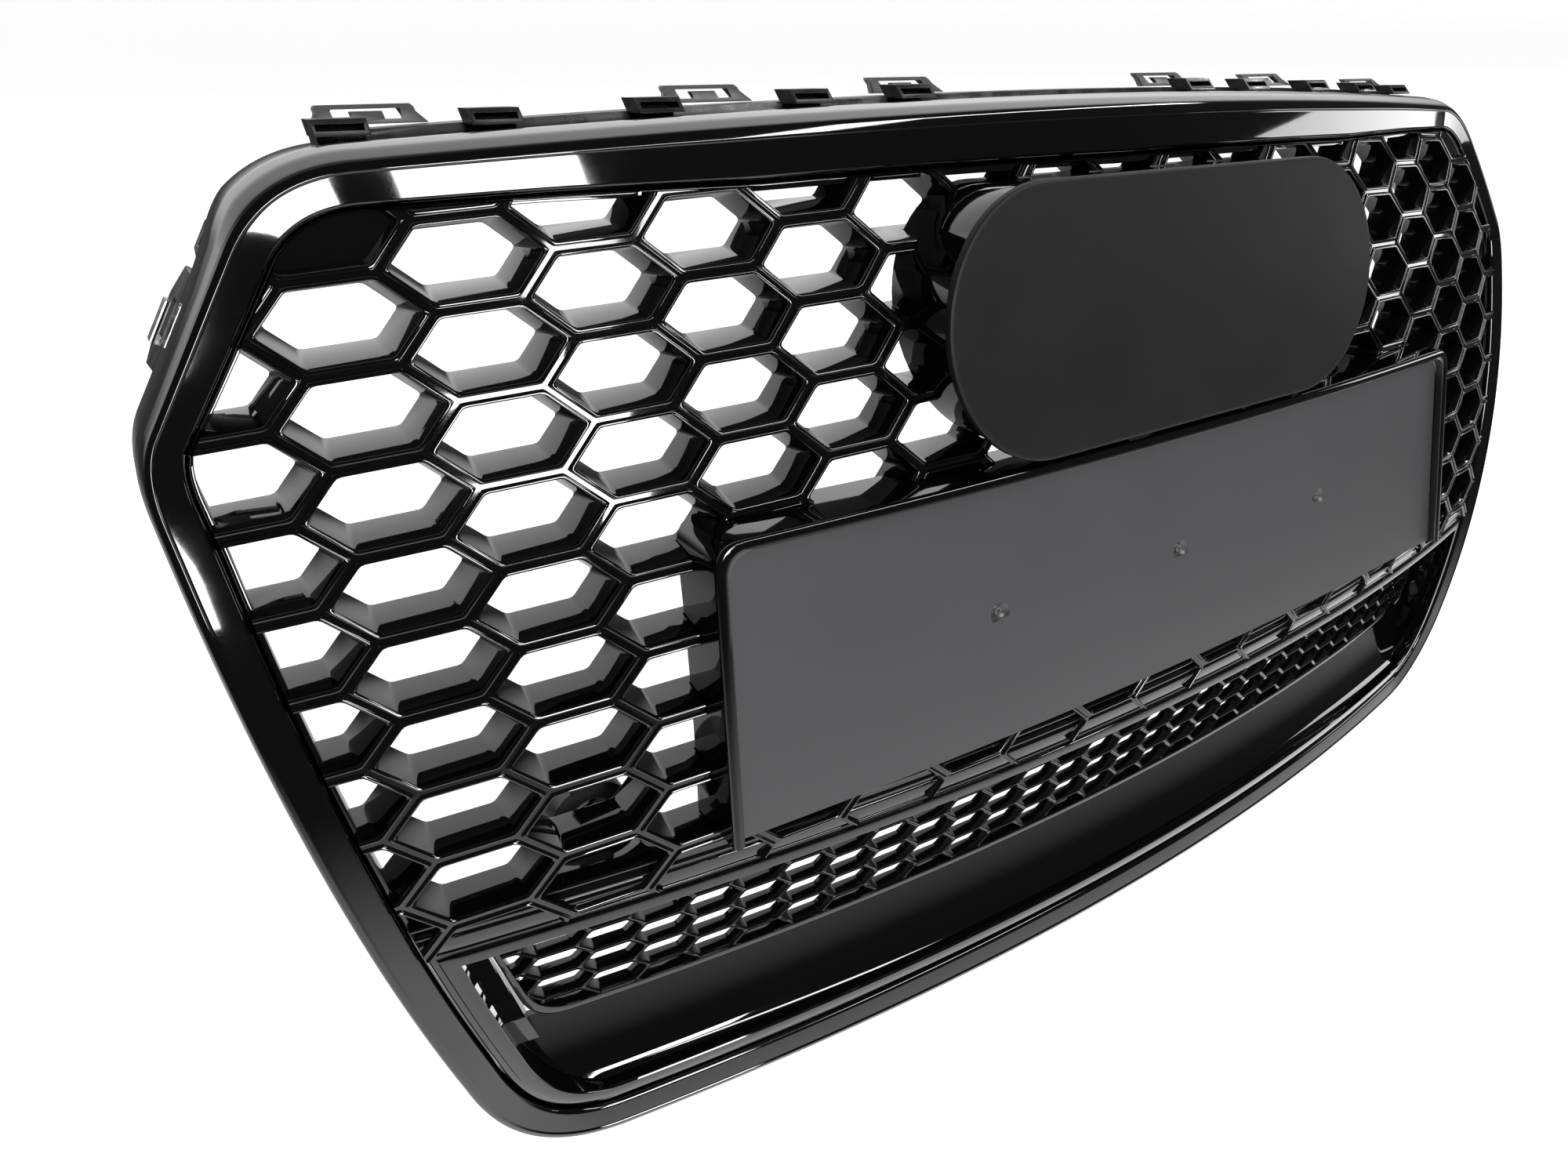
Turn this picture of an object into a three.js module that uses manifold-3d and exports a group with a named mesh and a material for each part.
// Front grille with a plate carrier: surround, honeycomb insert, lower bezel and fittings.
// Millimetres. X to the right seen from the front, +Y rearward, +Z up.
// Every moulding is drawn flat in X-Z and laid on the nose surface noseDepth(x, z).
import * as THREE from 'three';
import { mergeVertices } from 'three/addons/utils/BufferGeometryUtils.js';
import Module from 'manifold-3d';

const wasm = await Module();
wasm.setup();

// ---------- driving dimensions ----------
const GAP = 0.5; // clearance between fitted mouldings
const NOSE = { bow: 50, halfWidth: 450, rake: 0.3, curl: 28, curlSpan: 200, front: 5 };
const PLATE = { halfTop: 257, halfBottom: 267, height: 120, corner: 12, rim: 6, proud: 5 };
const PLATE_DEPTH = { bow: 9.6, halfWidth: 262, rake: 0.2, floor: 3, back: 16 };
const PAD = { half: 93, radius: 57.5, z: 66, rake: 0.2, front: -6, thickness: 4 };
const PEDESTAL = { inset: 3, back: 14 };
const CELL = { pitchX: 45.75, pitchZ: 29.25, flat: 30.3, row: 84.6, arch: 14.9 };
const CELL_WALL = { front: 2.4, rear: 5.6, frontDepth: 2, rearDepth: 21 };
const FINE = { pitchX: 24.3, pitchZ: 12.6, flat: 16.4, row: -160, arch: 0 };
const FINE_WALL = { front: 0, rear: 2, frontDepth: 24, rearDepth: 31 };
const SILL_Z = -144; // the insert ends here and the lower bezel begins
const LEDGE = 8; // height of the lower bezel's top ledge
const BASE_Z = -277.5; // bottom of the surround's ridge line
const LIP = { outer: 23.5, inner: 38.5, shelf: 52.5, front: 4, shelfFront: 14, back: 36 };
const FLUTE = { z: [-167, -180, -193], half: 4.5, depth: 6, reach: 330 };
const MESH_BOTTOM_Z = -214;
const MESH_BORDER = { side: 5, bar: 3 };
const PANEL = { front: 10, rise: 18, thickness: 3 };
const RAIL = { half: 352, depth: 36, back: 52, low: 2, high: 6.5 };
const TAB_X = [-331, -195, -92, 92, 195, 331];
const TAB = { half: 18.5, flare: 3, height: 6.5, lean: 1.5, depth: 42.2, thickness: 3.5 };
const TAB_WINDOW = { half: 12.5, low: 1.5, high: 5, tongue: 6, tip: 4.2 };
const BOX_X = [-345, -290, -225, -155, -100, 100, 155, 225, 290, 345];
const BOX = { half: 10, low: 5.5, high: 11, front: 25, back: 37.5, lean: 1, wall: 1.6, hollow: 10 };
const SENSOR = { x: 312, z: -126, outer: 19, inner: 10.5, front: 37, back: 56 };
const ROUND = 14; // sides of a round hole or pin
const SEAT = 3; // a screw head stands clear of the sloping face behind it

// ---------- materials ----------
const material = (color, roughness, metalness = 0) =>
  new THREE.MeshStandardMaterial({ color, roughness, metalness });
const GLOSS = material(0x0b0b0c, 0.12);
const SATIN = material(0x1b1c1e, 0.38);
const MATTE = material(0x17181a, 0.6);
const STEEL = material(0x8d9094, 0.35, 1);
const BLACK_STEEL = material(0x2c2d2f, 0.4, 1);

// ---------- helpers ----------
function noseDepth(x, z) {
  const { bow, halfWidth, rake, curl, curlSpan, front } = NOSE;
  return front + bow * (x / halfWidth) ** 2 + rake * z + curl * (z / curlSpan) ** 2;
}

function plateDepth(x, z) {
  return PLATE_DEPTH.bow * (x / PLATE_DEPTH.halfWidth) ** 2 + PLATE_DEPTH.rake * z;
}

// A closed geometry becomes a solid for cutting and joining.
function solid(geometry) {
  const source = geometry.clone();
  Object.keys(source.attributes).filter((name) => name !== 'position')
    .forEach((name) => source.deleteAttribute(name));
  const merged = mergeVertices(source, 1e-4);
  const index = merged.index.array;
  const triangles = [];
  for (let i = 0; i < index.length; i += 3) {
    const [a, b, c] = [index[i], index[i + 1], index[i + 2]];
    if (a !== b && b !== c && c !== a) triangles.push(a, b, c);
  }
  return new wasm.Manifold(new wasm.Mesh({
    numProp: 3,
    vertProperties: new Float32Array(merged.attributes.position.array),
    triVerts: new Uint32Array(triangles),
  }));
}

function meshOf(name, body, look) {
  const { vertProperties, triVerts } = body.getMesh();
  const geometry = new THREE.BufferGeometry();
  geometry.setAttribute('position', new THREE.BufferAttribute(vertProperties, 3));
  geometry.setIndex(new THREE.BufferAttribute(triVerts, 1));
  geometry.computeVertexNormals();
  const mesh = new THREE.Mesh(geometry, look);
  mesh.name = name;
  return mesh;
}

// Moves every vertex: the callback gets and returns [x, y, z].
function warp(geometry, move) {
  const position = geometry.attributes.position;
  for (let i = 0; i < position.count; i += 1) {
    position.setXYZ(i, ...move(position.getX(i), position.getY(i), position.getZ(i)));
  }
  return geometry;
}

// An outline in X-Z carried straight through along Y.
function prism(points, yFront = -200, yBack = 300) {
  const shape = new THREE.Shape(points);
  const geometry = new THREE.ExtrudeGeometry(shape, {
    depth: yBack - yFront, bevelEnabled: false, steps: 1,
  });
  return solid(warp(geometry, (x, y, z) => [x, yBack - z, y]));
}

// A curved sheet between two depths, with enough facets to follow its surface.
function sheet(box, front, back, cells) {
  const [x0, x1, z0, z1] = box;
  const [nx, nz] = cells;
  const geometry = new THREE.BoxGeometry(x1 - x0, 1, z1 - z0, nx, 1, nz);
  return solid(warp(geometry, (x, y, z) => {
    const px = x + (x0 + x1) / 2;
    const pz = z + (z0 + z1) / 2;
    return [px, y < 0 ? front(px, pz) : back(px, pz), pz];
  }));
}

const layer = (offset) => (x, z) => noseDepth(x, z) + offset;
const plateLayer = (offset) => (x, z) => plateDepth(x, z) + offset;
const flat = (y) => () => y;
const rectangle = (x0, x1, z0, z1) =>
  [[x0, z0], [x1, z0], [x1, z1], [x0, z1]].map(([x, z]) => new THREE.Vector2(x, z));

function pin(x, z, radius, yFront, yBack, sides = ROUND) {
  const geometry = new THREE.CylinderGeometry(radius, radius, yBack - yFront, sides);
  return solid(geometry.translate(x, (yFront + yBack) / 2, z));
}

function brick(x0, x1, y0, y1, z0, z1) {
  const geometry = new THREE.BoxGeometry(x1 - x0, y1 - y0, z1 - z0);
  return solid(geometry.translate((x0 + x1) / 2, (y0 + y1) / 2, (z0 + z1) / 2));
}

// A screw seen from behind: its head stands behind yHead and its shank runs forward.
function screw(x, z, yHead, length) {
  const [head, shank, height] = [4.2, 1.7, 2.4];
  const profile = [[0, 0], [shank, 0], [shank, length], [head, length], [head, length + height],
    [0, length + height]].map(([r, y]) => new THREE.Vector2(r, y));
  return solid(new THREE.LatheGeometry(profile, 10).translate(x, yHead - length, z));
}

// ---------- the surround's outline ----------
// Right half from the top centre to the bottom centre, as curves with their facet counts.
const point = (x, z) => new THREE.Vector2(x, z);
const bend = (a, control, b) => new THREE.QuadraticBezierCurve(point(...a), point(...control),
  point(...b));
const HALF_OUTLINE = [
  [bend([0, 148], [165, 148], [350, 138.8]), 7],
  [bend([350, 138.8], [380, 137], [395, 114]), 5],
  [bend([395, 114], [412, 89], [430, 62.5]), 1],
  [bend([430, 62.5], [437, 52], [435.3, 34]), 4],
  [bend([435.3, 34], [424.6, -95], [390, -217]), 7],
  [bend([390, -217], [375.5, BASE_Z], [325, BASE_Z]), 6],
  [bend([325, BASE_Z], [160, BASE_Z], [0, BASE_Z]), 6],
];

function outlineStations() {
  const half = HALF_OUTLINE.flatMap(([curve, count], segment) =>
    curve.getPoints(count).slice(segment ? 1 : 0));
  const mirrored = half.slice(1, -1).reverse().map((p) => point(-p.x, p.y));
  return [...half, ...mirrored];
}

const STATIONS = outlineStations();
const INWARD = STATIONS.map((p, i) => {
  const before = STATIONS[(i + STATIONS.length - 1) % STATIONS.length];
  const after = STATIONS[(i + 1) % STATIONS.length];
  const along = after.clone().sub(before).normalize();
  return point(along.y, -along.x);
});

// A value between table entries of [position, value], held beyond its ends.
function along(table, position) {
  const next = table.findIndex(([at]) => at > position);
  if (next === 0) return table[0][1];
  if (next < 0) return table[table.length - 1][1];
  const [[from, start], [to, end]] = [table[next - 1], table[next]];
  return start + ((end - start) * (position - from)) / (to - from);
}

// Width scale of the surround: across its top it goes by x, and down its sides by z.
const CORNER_Z = 110;
const TOP_SCALE = [[0, 1], [208, 0.9], [282, 0.76], [355, 0.67], [398, 0.64]];
const SIDE_SCALE = [[20, 0.65], [60, 0.54], [CORNER_Z, 0.64]];
const widthScale = (p) =>
  (p.y > CORNER_Z ? along(TOP_SCALE, Math.abs(p.x)) : along(SIDE_SCALE, p.y));

// How far each station's section has gone over from its top form to its side form.
const SIDE_FORM = [[BASE_Z, 0.4], [-240, 1], [CORNER_Z, 1], [126, 0]];

function offsetOutline(topOffset, sideOffset = topOffset) {
  return STATIONS.map((p, i) => {
    const offset = topOffset + (sideOffset - topOffset) * along(SIDE_FORM, p.y);
    return p.clone().addScaledVector(INWARD[i], offset > 0 ? offset * widthScale(p) : offset);
  });
}

// ---------- outer surround ----------
// Section of the surround: offset inward from its ridge, depth behind the nose surface, and
// the offset on the sides where it differs, because the outer bevel fades out there.
const SURROUND_SECTION = [[-5, 34, -1.8], [-5, 14, -1.8], [-3, 6.5, -1.2], [0, 0.8], [2.5, 0],
  [5, 0.6], [19, 3.6], [20.5, 5], [21.3, 9], [21.3, 22], [17.5, 22], [15, 13], [3, 9, 6],
  [-1.5, 15, 2], [-1.5, 34, 2]];
const FIXING_X = [-250, 0, 250];
const BOSS = { inset: 10, outer: 4, bore: 2.1, front: 8, back: 19.5, blind: 12 };
const CLEARANCE_HOLE = 2.4;
const BOSS_SIDES = 10;

// A fixing stands on the top of the surround, at the station nearest to its x.
function fixingPoint(x) {
  const top = STATIONS.filter((p) => p.y > CORNER_Z);
  const nearest = top.reduce((best, p) => (Math.abs(p.x - x) < Math.abs(best.x - x) ? p : best));
  const z = nearest.y - BOSS.inset * widthScale(nearest);
  return { x, z, y: noseDepth(x, z) };
}

// A closed section of [offset, depth, side offset] points carried round the whole outline.
function outlineLoft(section) {
  const rings = section.map(([offset, , sideOffset]) => offsetOutline(offset, sideOffset));
  const positions = [];
  STATIONS.forEach((_, i) => section.forEach(([, depth], j) => {
    const p = rings[j][i];
    positions.push(p.x, noseDepth(p.x, p.y) + depth, p.y);
  }));
  const index = [];
  const width = section.length;
  STATIONS.forEach((_, i) => {
    const [ring, next] = [i * width, ((i + 1) % STATIONS.length) * width];
    section.forEach((__, j) => {
      const turned = (j + 1) % width;
      index.push(ring + j, ring + turned, next + j, ring + turned, next + turned, next + j);
    });
  });
  const geometry = new THREE.BufferGeometry();
  geometry.setAttribute('position', new THREE.Float32BufferAttribute(positions, 3));
  geometry.setIndex(index);
  return solid(geometry);
}

function surround() {
  return FIXING_X.map(fixingPoint).reduce((body, { x, y, z }) => body
    .add(pin(x, z, BOSS.outer, y + BOSS.front, y + BOSS.back, BOSS_SIDES))
    .subtract(pin(x, z, BOSS.bore, y + BOSS.blind, y + 2 * BOSS.back, BOSS_SIDES)),
  outlineLoft(SURROUND_SECTION));
}

// ---------- honeycomb ----------
// A sheet of hexagonal tiles that share their corners. Open tiles carry a tapered hole.
function honeycomb(cell, wall, columns, rows, isOpen) {
  const slant = cell.pitchX - cell.flat;
  const corners = [[cell.flat / 2 + slant, 0], [cell.flat / 2, cell.pitchZ / 2],
    [-cell.flat / 2, cell.pitchZ / 2], [-cell.flat / 2 - slant, 0],
    [-cell.flat / 2, -cell.pitchZ / 2], [cell.flat / 2, -cell.pitchZ / 2]];
  const positions = [];
  const place = (x, z, depth) => {
    const lifted = z + cell.arch * (1 - (x / NOSE.halfWidth) ** 2);
    positions.push(x, noseDepth(x, lifted) + depth, lifted);
  };
  const quad = (a, b, c, d) => [a, b, c, a, c, d].forEach((p) => place(...p));
  const key = (k, j) => `${k}/${j}`;
  const tiles = new Set();
  for (let k = -columns; k <= columns; k += 1) {
    for (let j = rows[0]; j <= rows[1]; j += 1) tiles.add(key(k, j));
  }
  // Neighbour across each edge, counted from the right-hand upper edge round to the left.
  const odd = (k) => Math.abs(k % 2);
  const neighbours = (k, j) => [[k + 1, j - odd(k)], [k, j - 1], [k - 1, j - odd(k)],
    [k - 1, j + 1 - odd(k)], [k, j + 1], [k + 1, j + 1 - odd(k)]];
  tiles.forEach((name) => {
    const [k, j] = name.split('/').map(Number);
    const x = k * cell.pitchX;
    const z = cell.row - (j - (odd(k) ? 0.5 : 0)) * cell.pitchZ;
    const open = isOpen(x, z + cell.arch * (1 - (x / NOSE.halfWidth) ** 2), k, j);
    const hex = corners.map(([cx, cz]) => [x + cx, z + cz]);
    const shrink = (inset) => {
      const scaleZ = 1 - (2 * inset) / cell.pitchZ;
      const slope = Math.hypot(slant, cell.pitchZ / 2) / (cell.pitchZ / 2);
      const tip = cell.flat / 2 + slant - inset * slope;
      const halfFlat = tip - slant * scaleZ;
      return [[tip, 0], [halfFlat, 1], [-halfFlat, 1], [-tip, 0], [-halfFlat, -1], [halfFlat, -1]]
        .map(([cx, side]) => [x + cx, z + (side * scaleZ * cell.pitchZ) / 2]);
    };
    const [near, far] = [shrink(wall.front), shrink(wall.rear)];
    const [front, rear] = [wall.frontDepth, wall.rearDepth];
    const around = neighbours(k, j);
    for (let e = 0; e < 6; e += 1) {
      const n = (e + 1) % 6;
      const [a, b] = [hex[e], hex[n]];
      if (open) {
        const crest = wall.front ? near : hex;
        const rim = [[...a, front], [...b, front], [...near[n], front], [...near[e], front]];
        if (wall.front) quad(...rim);
        quad([...crest[e], front], [...crest[n], front], [...far[n], rear], [...far[e], rear]);
        quad([...far[e], rear], [...far[n], rear], [...b, rear], [...a, rear]);
      } else {
        [[a, b, [x, z], front], [b, a, [x, z], rear]].forEach(([p, q, r, depth]) =>
          [p, q, r].forEach((v) => place(...v, depth)));
      }
      if (!tiles.has(key(...around[e]))) {
        quad([...a, rear], [...b, rear], [...b, front], [...a, front]);
      }
    }
  });
  const geometry = new THREE.BufferGeometry();
  geometry.setAttribute('position', new THREE.Float32BufferAttribute(positions, 3));
  return solid(geometry);
}

// ---------- plate carrier outline ----------
function plateOutline(grow) {
  const { halfTop, halfBottom, height, corner } = PLATE;
  const shape = new THREE.Shape();
  const slope = (halfBottom - halfTop) / height;
  const top = halfTop + grow;
  const bottom = halfBottom + grow;
  shape.moveTo(-bottom, -height);
  shape.lineTo(-top - corner * slope, grow - corner);
  shape.quadraticCurveTo(-top, grow, -top + corner, grow);
  for (let step = 1; step < 10; step += 1) shape.lineTo((-top + corner) * (1 - step / 5), grow);
  shape.lineTo(top - corner, grow);
  shape.quadraticCurveTo(top, grow, top + corner * slope, grow - corner);
  shape.lineTo(bottom, -height);
  for (let step = 1; step < 10; step += 1) shape.lineTo(bottom * (1 - step / 5), -height);
  return shape.getPoints(3).reverse();
}

function stadium(inset) {
  const shape = new THREE.Shape();
  const radius = PAD.radius - inset;
  shape.absarc(PAD.half, PAD.z, radius, -Math.PI / 2, Math.PI / 2, false);
  shape.absarc(-PAD.half, PAD.z, radius, Math.PI / 2, (3 * Math.PI) / 2, false);
  return shape.getPoints(10);
}

const PLATE_BOX = [-290, 290, -140, 30];
const PLATE_CELLS = [12, 3];
const PLATE_SCREWS = [[-200, -30], [200, -30], [-200, -95], [200, -95]];
const PAD_SCREWS = [[-80, 64], [80, 64]];
const PILLAR = { radius: 4.5, bore: 2.1, skin: 5, sides: 10 }; // screw pillar behind a face
const PLATE_WALL = 3;
const DIMPLE = { x: [-124.5, 0, 124.5], z: -57.5, mouth: 3.6, bottom: 0.6, depth: 2 };
const [IN_FRONT, BEHIND] = [-150, 200]; // depths clear of every moulding

function plateBase() {
  const { floor, back } = PLATE_DEPTH;
  const { rim, proud, height } = PLATE;
  const lowered = (outline, drop) =>
    prism(outline.map((p) => point(p.x, p.y === -height ? p.y - drop : p.y)));
  const block = sheet(PLATE_BOX, plateLayer(-proud), layer(back), PLATE_CELLS)
    .intersect(prism(plateOutline(rim)));
  const tray = sheet(PLATE_BOX, flat(IN_FRONT), plateLayer(0), PLATE_CELLS)
    .intersect(lowered(plateOutline(0), height));
  const hollow = sheet(PLATE_BOX, plateLayer(floor), flat(BEHIND), PLATE_CELLS)
    .intersect(lowered(plateOutline(rim - PLATE_WALL), -PLATE_WALL));
  let body = block.subtract(tray).subtract(hollow);
  PLATE_SCREWS.forEach(([x, z]) => {
    const y = plateDepth(x, z);
    const foot = noseDepth(x, z) + back - GAP;
    body = body.add(pin(x, z, PILLAR.radius, y + 1, foot, PILLAR.sides))
      .subtract(pin(x, z, PILLAR.bore, y + PILLAR.skin, BEHIND, PILLAR.sides));
  });
  DIMPLE.x.forEach((x) => {
    const y = plateDepth(x, DIMPLE.z) + DIMPLE.depth / 2 - 0.3;
    const cone = new THREE.CylinderGeometry(DIMPLE.bottom, DIMPLE.mouth, DIMPLE.depth, ROUND);
    body = body.subtract(solid(cone.translate(x, y, DIMPLE.z)));
  });
  return body;
}

const PAD_BOX = [-170, 170, 0, 135];
const PAD_CELLS = [8, 4];

function emblemPad() {
  const face = (offset) => (x, z) => PAD.front + PAD.rake * z + offset;
  return sheet(PAD_BOX, face(0), face(PAD.thickness), [1, 1]).intersect(prism(stadium(0)));
}

function emblemPedestal() {
  const start = (x, z) => PAD.front + PAD.rake * z + PAD.thickness + GAP;
  return PAD_SCREWS.reduce((body, [x, z]) => body
    .subtract(pin(x, z, PILLAR.bore, start(x, z) + PILLAR.skin, BEHIND, PILLAR.sides)),
  sheet(PAD_BOX, start, layer(PEDESTAL.back), PAD_CELLS)
    .intersect(prism(stadium(PEDESTAL.inset))));
}

// ---------- honeycomb insert ----------
// Its rim stands inside the surround and its flange lies behind it.
const INSERT_SECTION = [[22.2, 8], [25.5, 8], [25.5, 26], [6, 26], [6, 22.8], [22.2, 22.8]];
const INSERT_EDGE = 23;
const SILL_BAR = { height: 7, front: 4, back: 24 };
const BACKING = { box: [-262, 262, -142, -106], front: 17 };
const BLIND = { half: 262, low: -112, high: -8, pad: -14, column: 8, cornerZ: 95, sill: -136 };
const [FAR_X, FAR_LOW, FAR_HIGH] = [500, -330, 200]; // beyond the whole grille
const above = (z) => prism(rectangle(-FAR_X, FAR_X, z, FAR_HIGH));
const below = (z) => prism(rectangle(-FAR_X, FAR_X, FAR_LOW, z));

function insideStadium(x, z, grow) {
  const dx = Math.max(Math.abs(x) - PAD.half, 0);
  return Math.hypot(dx, z - PAD.z) < PAD.radius + grow;
}

// Cells behind the plate, the pad, the corner panels and the sill are closed.
function cellIsOpen(x, z, k) {
  const behindPlate = Math.abs(x) < BLIND.half && z > BLIND.low && z < BLIND.high;
  const behindPad = insideStadium(x, z, BLIND.pad);
  const cornerPanel = Math.abs(k) === BLIND.column && z > BLIND.cornerZ;
  return !(behindPlate || behindPad || cornerPanel || z < BLIND.sill);
}

const FIXINGS = FIXING_X.map(fixingPoint);

function honeycombInsert() {
  const edge = prism(offsetOutline(INSERT_EDGE));
  const cells = honeycomb(CELL, CELL_WALL, 9, [-1, 8], cellIsOpen).intersect(edge);
  const backing = sheet(BACKING.box, layer(BACKING.front), layer(CELL_WALL.rearDepth), [10, 1]);
  const sillBar = sheet([-400, 400, SILL_Z, SILL_Z + SILL_BAR.height],
    layer(SILL_BAR.front), layer(SILL_BAR.back), [16, 1]).intersect(edge);
  const plateSeat = sheet(PLATE_BOX, flat(IN_FRONT), layer(PLATE_DEPTH.back + GAP), PLATE_CELLS)
    .intersect(prism(plateOutline(PLATE.rim + GAP)));
  const padSeat = sheet(PAD_BOX, flat(IN_FRONT), layer(PEDESTAL.back + GAP), PAD_CELLS)
    .intersect(prism(stadium(PEDESTAL.inset - GAP)));
  const body = cells.add(outlineLoft(INSERT_SECTION)).add(backing).intersect(above(SILL_Z))
    .add(sillBar).subtract(plateSeat).subtract(padSeat);
  const holes = [...PLATE_SCREWS, ...PAD_SCREWS, ...FIXINGS.map(({ x, z }) => [x, z])];
  return holes.reduce((drilled, [x, z]) => drilled
    .subtract(pin(x, z, CLEARANCE_HOLE, noseDepth(x, z) + 10, BEHIND, BOSS_SIDES)), body);
}

// ---------- lower bezel ----------
const LOWER_TOP = SILL_Z - LEDGE - GAP; // top of the lower opening
const LOWER_BOX = [-420, 420, -290, SILL_Z];
const LOWER_CELLS = [16, 5];

// A lip round the opening, and beside the mesh a shelf with three flutes set back from it.
function lowerBezel() {
  const { outer, inner, shelf, front, shelfFront, back } = LIP;
  const opening = prism(offsetOutline(inner)).intersect(below(LOWER_TOP));
  const lip = sheet(LOWER_BOX, layer(front), layer(back), LOWER_CELLS)
    .intersect(prism(offsetOutline(outer))).intersect(below(SILL_Z - GAP)).subtract(opening);
  const shelves = sheet(LOWER_BOX, layer(shelfFront), layer(back), LOWER_CELLS)
    .intersect(prism(offsetOutline(inner - 1))).subtract(prism(offsetOutline(shelf)))
    .intersect(above(MESH_BOTTOM_Z)).intersect(below(LOWER_TOP + 1));
  const flutes = [-1, 1].flatMap((side) => FLUTE.z.map((z) => {
    const [near, far] = [side * FLUTE.reach, side * (FLUTE.reach + 60)].sort((p, q) => p - q);
    const cut = [near, far, z - FLUTE.half, z + FLUTE.half];
    return sheet(cut, flat(IN_FRONT), layer(shelfFront + FLUTE.depth), [2, 1]);
  }));
  const fluted = flutes.reduce((body, flute) =>
    body.subtract(flute.intersect(prism(offsetOutline(inner + 1.5)))), shelves);
  return lip.add(fluted);
}

function lowerMesh() {
  const { frontDepth, rearDepth } = FINE_WALL;
  const top = LOWER_TOP - GAP;
  const area = prism(offsetOutline(LIP.shelf + 1))
    .intersect(prism(rectangle(-FAR_X, FAR_X, MESH_BOTTOM_Z, top)));
  const slab = (z0, z1) => sheet([-400, 400, z0, z1], layer(frontDepth), layer(rearDepth), [14, 1]);
  const sides = slab(MESH_BOTTOM_Z, top)
    .subtract(prism(offsetOutline(LIP.shelf + 1 + MESH_BORDER.side)));
  return honeycomb(FINE, FINE_WALL, 15, [-1, 4], () => true)
    .add(sides)
    .add(slab(MESH_BOTTOM_Z, MESH_BOTTOM_Z + MESH_BORDER.bar))
    .add(slab(top - MESH_BORDER.bar, top))
    .intersect(area);
}

// A scoop that leads back from the lip's lower edge up to the mesh.
function lowerPanel() {
  const bottom = Math.min(...offsetOutline(LIP.inner).map((p) => p.y)) + GAP;
  const top = MESH_BOTTOM_Z - GAP;
  const climb = (z) => PANEL.rise * Math.sqrt(Math.max(0, (z - bottom) / (top - bottom)));
  const slope = (offset) => (x, z) => noseDepth(x, z) + PANEL.front + climb(z) + offset;
  return sheet([-380, 380, bottom, top], slope(0), slope(PANEL.thickness), [14, 5])
    .intersect(prism(offsetOutline(LIP.inner + 1)));
}

// ---------- mounting rail and tabs ----------
const topEdge = (x) => 148 - 7 * (x / 322) ** 2;

// An outline of [x, height] points standing at (x, z) and leaning back as it rises.
function leaning(x, y, z, outline, lean, thickness) {
  const shape = new THREE.Shape(outline.map((p) => point(...p)));
  const geometry = new THREE.ExtrudeGeometry(shape, { depth: thickness, bevelEnabled: false });
  return solid(warp(geometry, (u, height, depth) =>
    [x + u, y + thickness - depth + lean * height, z + height]));
}

const blockOutline = (half, low, high) => [[-half, low], [half, low], [half, high], [-half, high]];

// A strip along the top with a row of open guide boxes that reach forward over the surround.
function topRail() {
  const steps = 14;
  const edge = (lift) => Array.from({ length: steps + 1 }, (_, i) => {
    const x = RAIL.half * (1 - (2 * i) / steps);
    return point(x, topEdge(x) + lift);
  });
  const outline = [...edge(RAIL.high), ...edge(RAIL.low).reverse()];
  const strip = sheet([-RAIL.half, RAIL.half, 120, 165], layer(RAIL.depth), layer(RAIL.back),
    [steps, 1]).intersect(prism(outline));
  const { half, low, high, front, back, lean, wall, hollow } = BOX;
  return BOX_X.reduce((body, x) => {
    const z = topEdge(x) + low;
    const y = noseDepth(x, z) + front;
    const block = leaning(x, y, z, blockOutline(half, 0, high - low), lean, back - front);
    const pocket = leaning(x, y - 1, z, blockOutline(half - wall, wall, high - low - wall), lean,
      hollow + 1);
    return body.add(block).subtract(pocket);
  }, strip);
}

function topTab(x) {
  const { half, flare, height, lean, depth, thickness } = TAB;
  const foot = topEdge(Math.abs(x) - half) + RAIL.high + GAP;
  const y = noseDepth(x, foot) + depth;
  const outline = [[-half - flare, 0], [half + flare, 0], [half, height * 0.6],
    [half, height - 1], [half - 1, height], [1 - half, height], [-half, height - 1],
    [-half, height * 0.6]];
  const plate = leaning(x, y, foot, outline, lean, thickness);
  const { low, high, tongue, tip } = TAB_WINDOW;
  const hole = blockOutline(TAB_WINDOW.half, low, high);
  const window = leaning(x, y - 1, foot, hole, lean, thickness + 2);
  return plate.subtract(window)
    .add(leaning(x, y, foot, blockOutline(tongue, low - 0.5, tip), lean, thickness));
}

// ---------- side brackets ----------
// They carry on from the surround's rear lip along its upper side edge, which runs straight
// from SIDE_EDGE.start downwards and outwards.
const SIDE_EDGE = { start: [400, 106.6], end: [430, 62.5], lip: 0.5, depth: 36 };
const EAR = { thickness: 2.6 };
const LARGE_EAR = { from: 4, to: 40, reach: 32 };
const SMALL_EAR = { from: -16, to: -1, reach: 16 };

// Local axes: along the edge, rearward, and outward. A mirrored piece turns its outward axis
// round, which keeps its faces pointing out.
function besideEdge(side, geometry, span) {
  const start = point(...SIDE_EDGE.start);
  const along = point(...SIDE_EDGE.end).sub(start).normalize();
  const outward = point(-along.y, along.x);
  const y0 = noseDepth(start.x, start.y) + SIDE_EDGE.depth;
  const rake = NOSE.rake * along.y;
  return solid(warp(geometry, (s, v, w) => {
    const out = SIDE_EDGE.lip + (side > 0 ? w : span - w) - EAR.thickness / 2;
    const p = start.clone().addScaledVector(along, s).addScaledVector(outward, out);
    return [side * p.x, y0 + v + rake * s, p.y];
  }));
}

function ear(side, outline, hole) {
  const shape = new THREE.Shape(outline.map((p) => point(...p)));
  shape.holes.push(new THREE.Path(hole.map((p) => point(...p))));
  const geometry = new THREE.ExtrudeGeometry(shape, { depth: EAR.thickness, bevelEnabled: false });
  return besideEdge(side, geometry, EAR.thickness);
}

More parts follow.
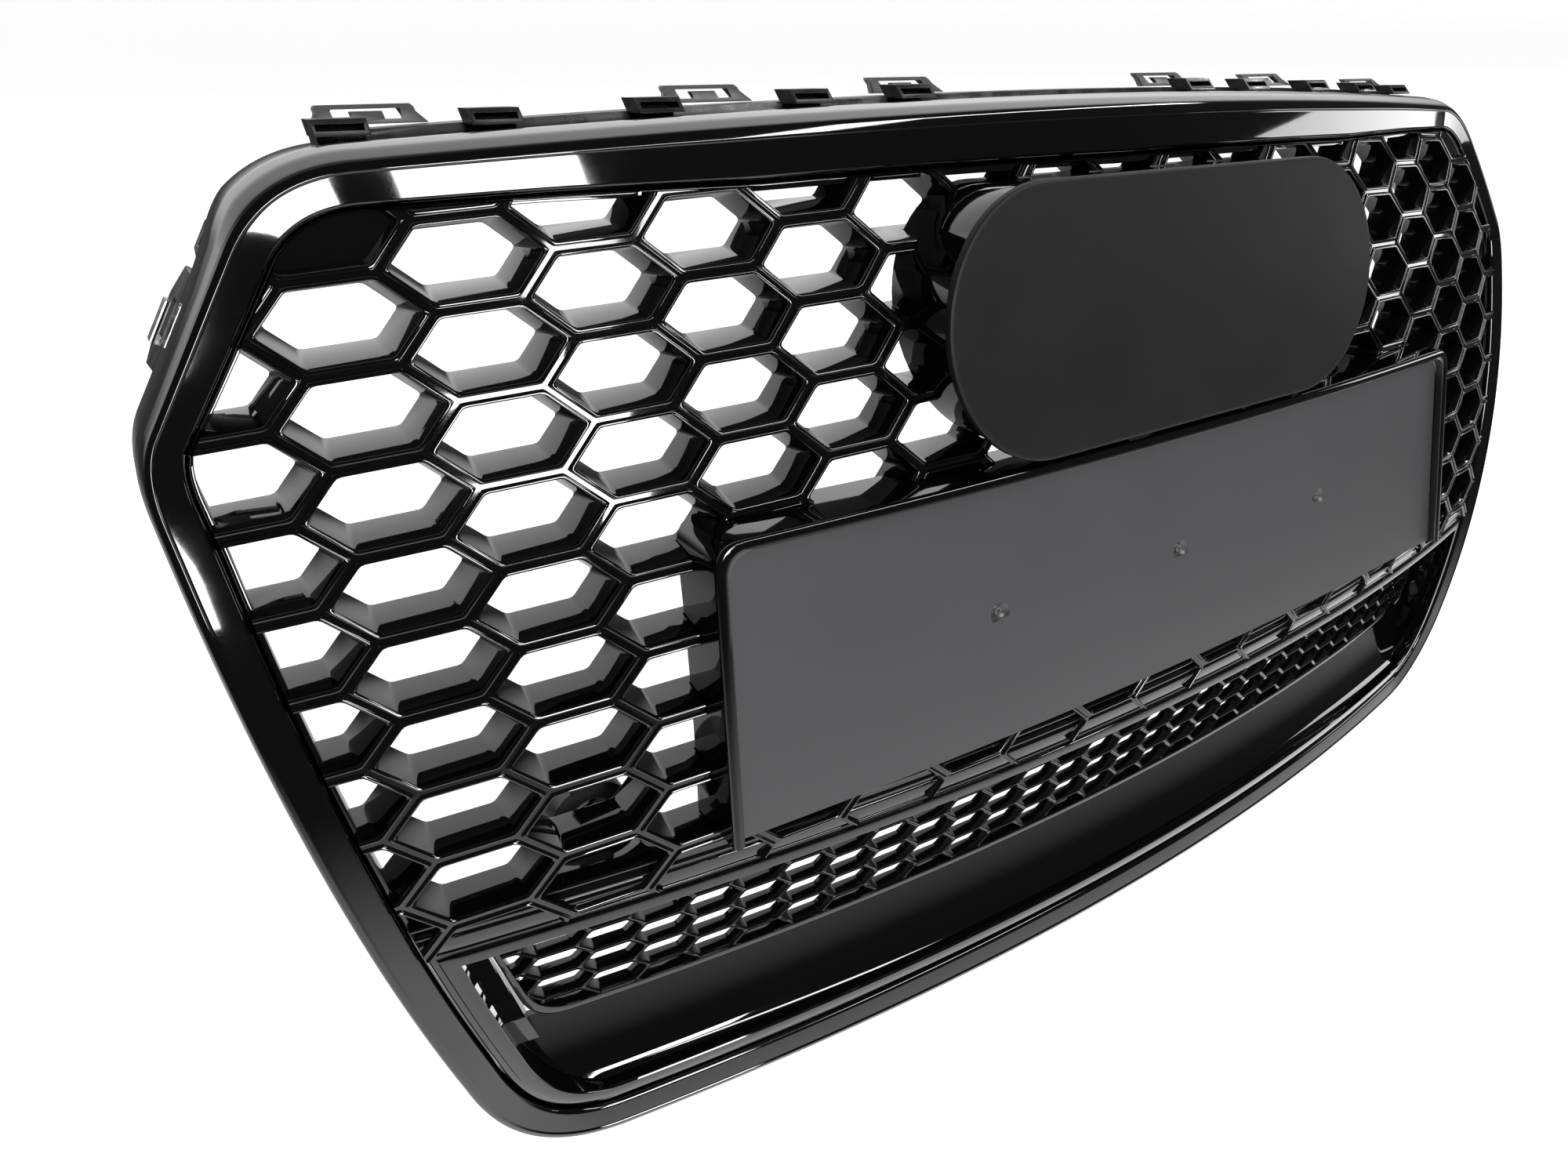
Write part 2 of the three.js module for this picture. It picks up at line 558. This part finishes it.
function sideBracket(side) {
  const { from, to, reach } = LARGE_EAR;
  const outline = [[from, 0], [to, 0], [to + 2, reach * 0.7], [to - 6, reach],
    [from + 12, reach], [from, reach * 0.6]];
  return ear(side, outline, [[from + 12, 8], [from + 12, 18], [to - 10, 18], [to - 10, 8]]);
}

function sideSlotBracket(side) {
  const { from, to, reach } = SMALL_EAR;
  const outline = [[from, 0], [to, 0], [to - 2, reach], [from + 2, reach]];
  return ear(side, outline, [[from + 4, 5], [from + 4, 9], [to - 4, 9], [to - 4, 5]]);
}

// A U-shaped strip of spring steel that grips the large bracket's rear edge.
function sideClip(side) {
  const [gauge, gap, grip, length] = [0.9, 0.4, 8, 16];
  const [inner, outer] = [EAR.thickness + gap, EAR.thickness + gap + gauge];
  const rear = LARGE_EAR.reach + gap;
  const shape = new THREE.Shape([[rear - grip, -gap - gauge], [rear + gauge, -gap - gauge],
    [rear + gauge, outer], [rear - grip, outer], [rear - grip, inner], [rear, inner],
    [rear, -gap], [rear - grip, -gap]].map((p) => point(...p)));
  const geometry = new THREE.ExtrudeGeometry(shape, { depth: length, bevelEnabled: false });
  const first = LARGE_EAR.from + 15;
  warp(geometry, (v, w, s) => [first + s, v, w]);
  return besideEdge(side, geometry, EAR.thickness);
}

// ---------- parking sensor holders ----------
function sensorRing(side, inner, outer, front, back) {
  const { x, z } = SENSOR;
  const y = noseDepth(x, z);
  return pin(side * x, z, outer, y + front, y + back, 20)
    .subtract(pin(side * x, z, inner, y + front - 1, y + back + 1, 20));
}

function sensorHolder(side) {
  const { x, z, inner, outer, front, back } = SENSOR;
  const y = noseDepth(x, z);
  const [left, right, top] = [side * x - 8, side * x + 8, z + outer + 20];
  const foot = noseDepth(x, top) + CELL_WALL.rearDepth + SEAT;
  const arm = brick(left, right, y + front, y + front + 3, z + outer - 4, top)
    .subtract(brick(left + 4, right - 4, y, y + 100, z + outer + 4, top - 6))
    .add(brick(left, right, foot, y + front + 1, top - 3, top));
  return sensorRing(side, inner, outer, front, back).add(arm);
}

function sensorRetainer(side) {
  const { inner, outer, back } = SENSOR;
  return sensorRing(side, inner - 1.5, outer - 2, back + GAP, back + GAP + 5);
}

// ---------- assembly ----------
const grille = new THREE.Group();
grille.name = 'front_grille';
const add = (name, body, look) => grille.add(meshOf(name, body, look));

add('outer_frame', surround(), GLOSS);
add('honeycomb_insert', honeycombInsert(), GLOSS);
add('plate_base', plateBase(), SATIN);
add('emblem_pedestal', emblemPedestal(), GLOSS);
add('emblem_pad', emblemPad(), MATTE);
add('lower_bezel', lowerBezel(), GLOSS);
add('lower_mesh', lowerMesh(), GLOSS);
add('lower_panel', lowerPanel(), GLOSS);
add('top_rail', topRail(), MATTE);
TAB_X.forEach((x, i) => add(`top_tab_${i + 1}`, topTab(x), MATTE));
[['left', -1], ['right', 1]].forEach(([name, side]) => {
  add(`side_bracket_${name}`, sideBracket(side), MATTE);
  add(`side_slot_bracket_${name}`, sideSlotBracket(side), MATTE);
  add(`side_clip_${name}`, sideClip(side), STEEL);
  add(`sensor_holder_${name}`, sensorHolder(side), MATTE);
  add(`sensor_retainer_${name}`, sensorRetainer(side), MATTE);
});
const behindInsert = (x, z) => noseDepth(x, z) + CELL_WALL.rearDepth + SEAT;
PLATE_SCREWS.forEach(([x, z], i) =>
  add(`plate_screw_${i + 1}`, screw(x, z, behindInsert(x, z), 12), BLACK_STEEL));
PAD_SCREWS.forEach(([x, z], i) =>
  add(`emblem_screw_${i + 1}`, screw(x, z, behindInsert(x, z), 14), BLACK_STEEL));
FIXINGS.forEach(({ x, y, z }, i) =>
  add(`insert_screw_${i + 1}`, screw(x, z, y + 26 + SEAT, 10), BLACK_STEEL));

// The frame's origin is the middle of the whole grille's box.
const middle = new THREE.Box3().setFromObject(grille).getCenter(new THREE.Vector3());
grille.position.copy(middle).negate();

export default grille;
